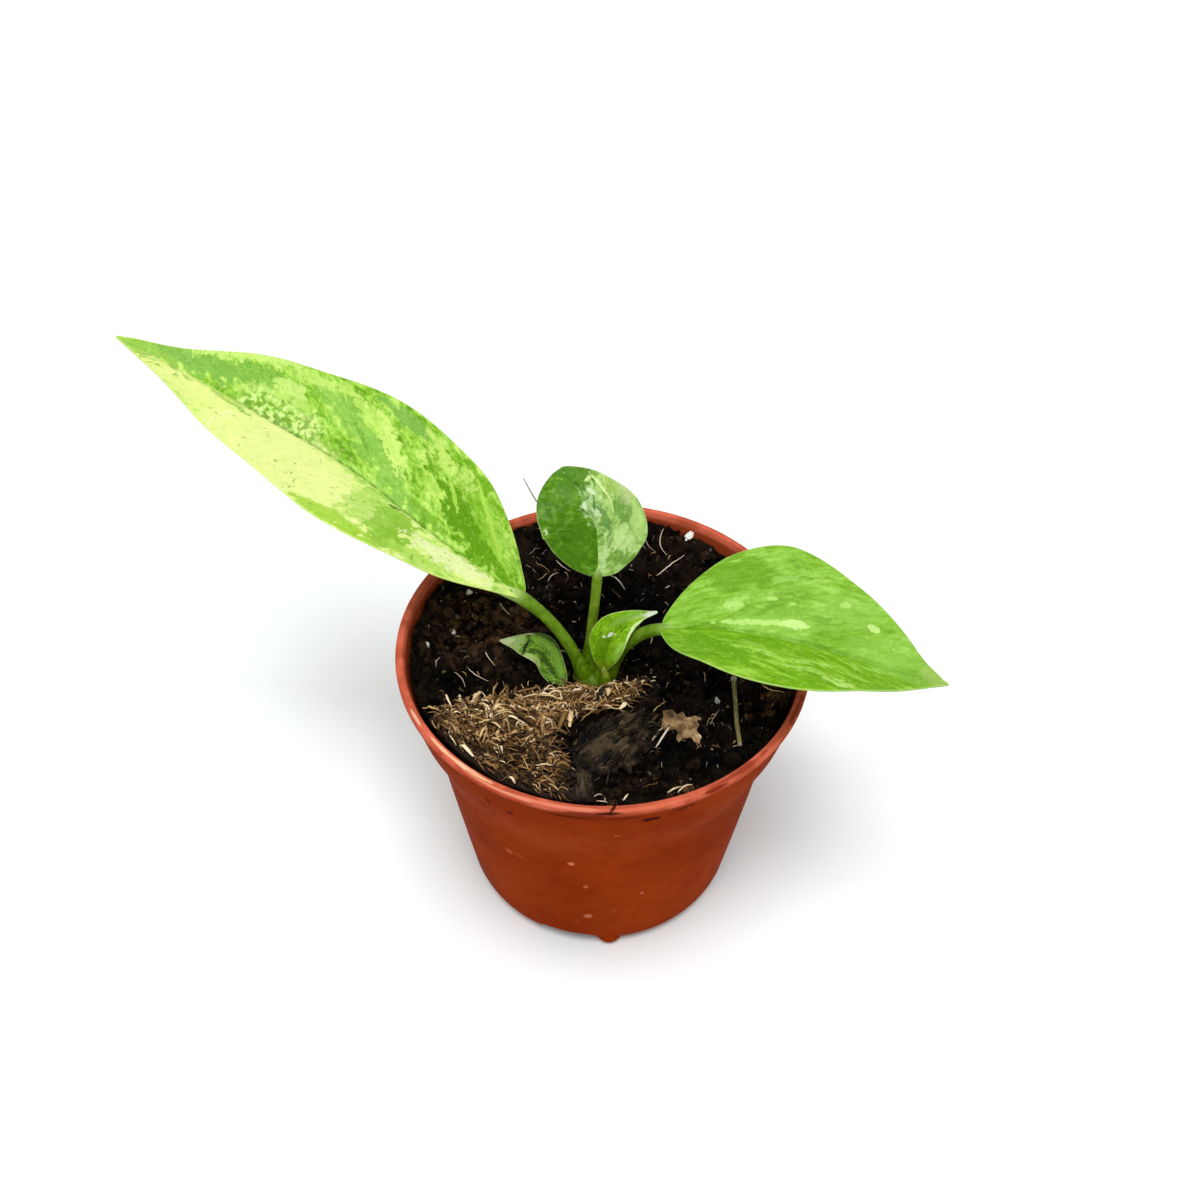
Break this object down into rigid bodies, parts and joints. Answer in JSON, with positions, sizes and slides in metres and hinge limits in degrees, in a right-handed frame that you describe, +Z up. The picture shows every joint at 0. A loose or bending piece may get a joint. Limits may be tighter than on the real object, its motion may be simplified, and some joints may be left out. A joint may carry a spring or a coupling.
{
  "type": "potted variegated anthurium",
  "caption": "Young aroid house plant with cream and green variegated leaves on thin stalks, rooted in dark compost in a small round flared plastic nursery pot.",
  "frame": {"origin": "on the pot's axis, on the surface that the pot stands on, at the flat pad in the middle of the underside", "axes": "+Z up, -Y towards the front of the pot as pictured, -X the way the longest leaf reaches"},
  "size_m": [0.1178, 0.06, 0.0804],
  "materials": {
    "pot_plastic": "semi-matte terracotta coloured plastic, worn and paler along the lip",
    "compost": "moist dark peat compost, rough",
    "crown": "smooth green plant tissue, pale tan roots below the compost",
    "leaf_cream": "satin leaf, cream and yellow-green variegation",
    "leaf_green": "satin leaf, fresh green with fine pale streaks",
    "leaf_deep_green": "glossy leaf, deep green with a silvery patch",
    "leaf_young": "glossy young leaf with a pale margin",
    "leaf_dull": "dull green curled leaf with a pale ragged tip",
    "fibre": "dry tan plant fibres",
    "plug": "dark fibrous potting plug",
    "dry_leaf": "dry brown leaf scrap, matte",
    "straw": "dry olive tan stalk",
    "perlite": "white porous grains"
  },
  "bodies": {
    "root": {"pot": "pot_plastic", "compost": "compost", "crown_and_roots": "crown", "leaf_left": "leaf_cream", "leaf_right": "leaf_green", "leaf_back": "leaf_deep_green", "leaf_small": "leaf_young", "leaf_curled": "leaf_dull", "fibre_tuft": "fibre", "plug_chunk": "plug", "dry_leaf_scrap": "dry_leaf", "straw": "straw", "perlite_1": "perlite", "perlite_2": "perlite", "perlite_3": "perlite", "perlite_4": "perlite", "perlite_5": "perlite"}
  },
  "joints": []
}
